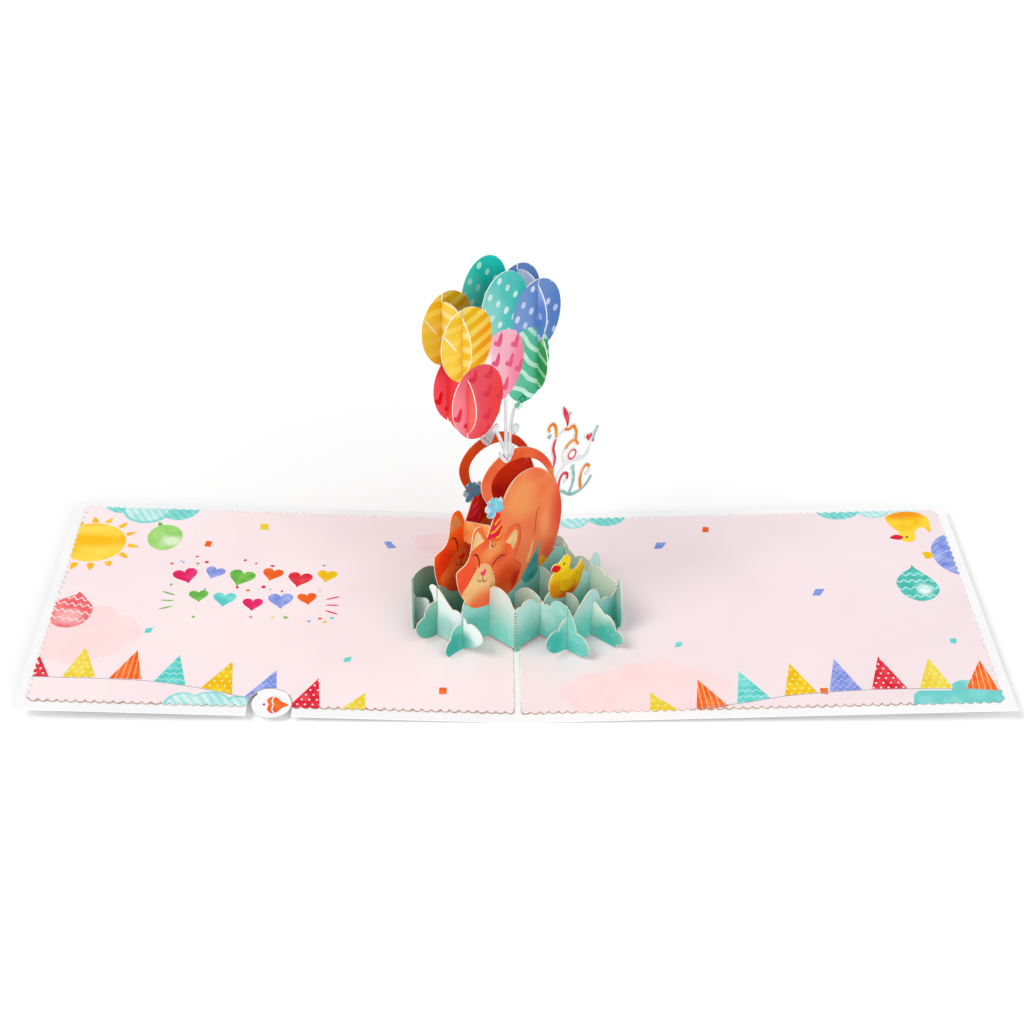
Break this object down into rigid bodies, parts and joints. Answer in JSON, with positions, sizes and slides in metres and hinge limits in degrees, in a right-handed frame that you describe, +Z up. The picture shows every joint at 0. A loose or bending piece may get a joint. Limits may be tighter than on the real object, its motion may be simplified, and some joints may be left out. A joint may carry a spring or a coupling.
{
  "type": "pop up card",
  "caption": "Open greeting card with a slatted paper pop-up: cats in party hats in a bush lattice under a bunch of paper balloons.",
  "frame": {"origin": "middle of the fold's underside, on the surface the card lies on", "axes": "+X along the opened card towards the right panel, +Y from the reader towards the back edge, +Z up"},
  "size_m": [0.3558, 0.1279, 0.153],
  "materials": {
    "cover_card": "white uncoated card",
    "left_print": "printed paper, pale pink wash with confetti, clouds and flags, matt",
    "right_print": "printed paper, pale pink wash with confetti, clouds and flags, matt",
    "note_paper": "white paper with a small orange print",
    "lattice_paper": "printed card, mint to teal wash, cream cut edges",
    "cat_paper": "printed card, orange wash over mint bushes, cream cut edges",
    "balloon_paper": "printed card, watercolour balloons in six colours, cream cut edges",
    "streamer_paper": "printed card, red to pink wash, cream cut edges"
  },
  "bodies": {
    "root": {"cover": "cover_card", "left_insert": "left_print", "right_insert": "right_print", "note_tab": "note_paper", "front_strip": "lattice_paper", "left_strip": "lattice_paper", "right_strip": "lattice_paper", "front_slat": "lattice_paper", "back_slat": "lattice_paper", "left_leaf": "lattice_paper", "right_leaf": "lattice_paper", "front_cat": "cat_paper", "back_cat": "cat_paper", "cat_spacer": "cat_paper", "front_balloons": "balloon_paper", "back_balloons": "balloon_paper", "yellow_fin": "balloon_paper", "red_fin": "balloon_paper", "blue_fin": "balloon_paper", "green_fin": "balloon_paper", "streamer": "streamer_paper"}
  },
  "joints": []
}
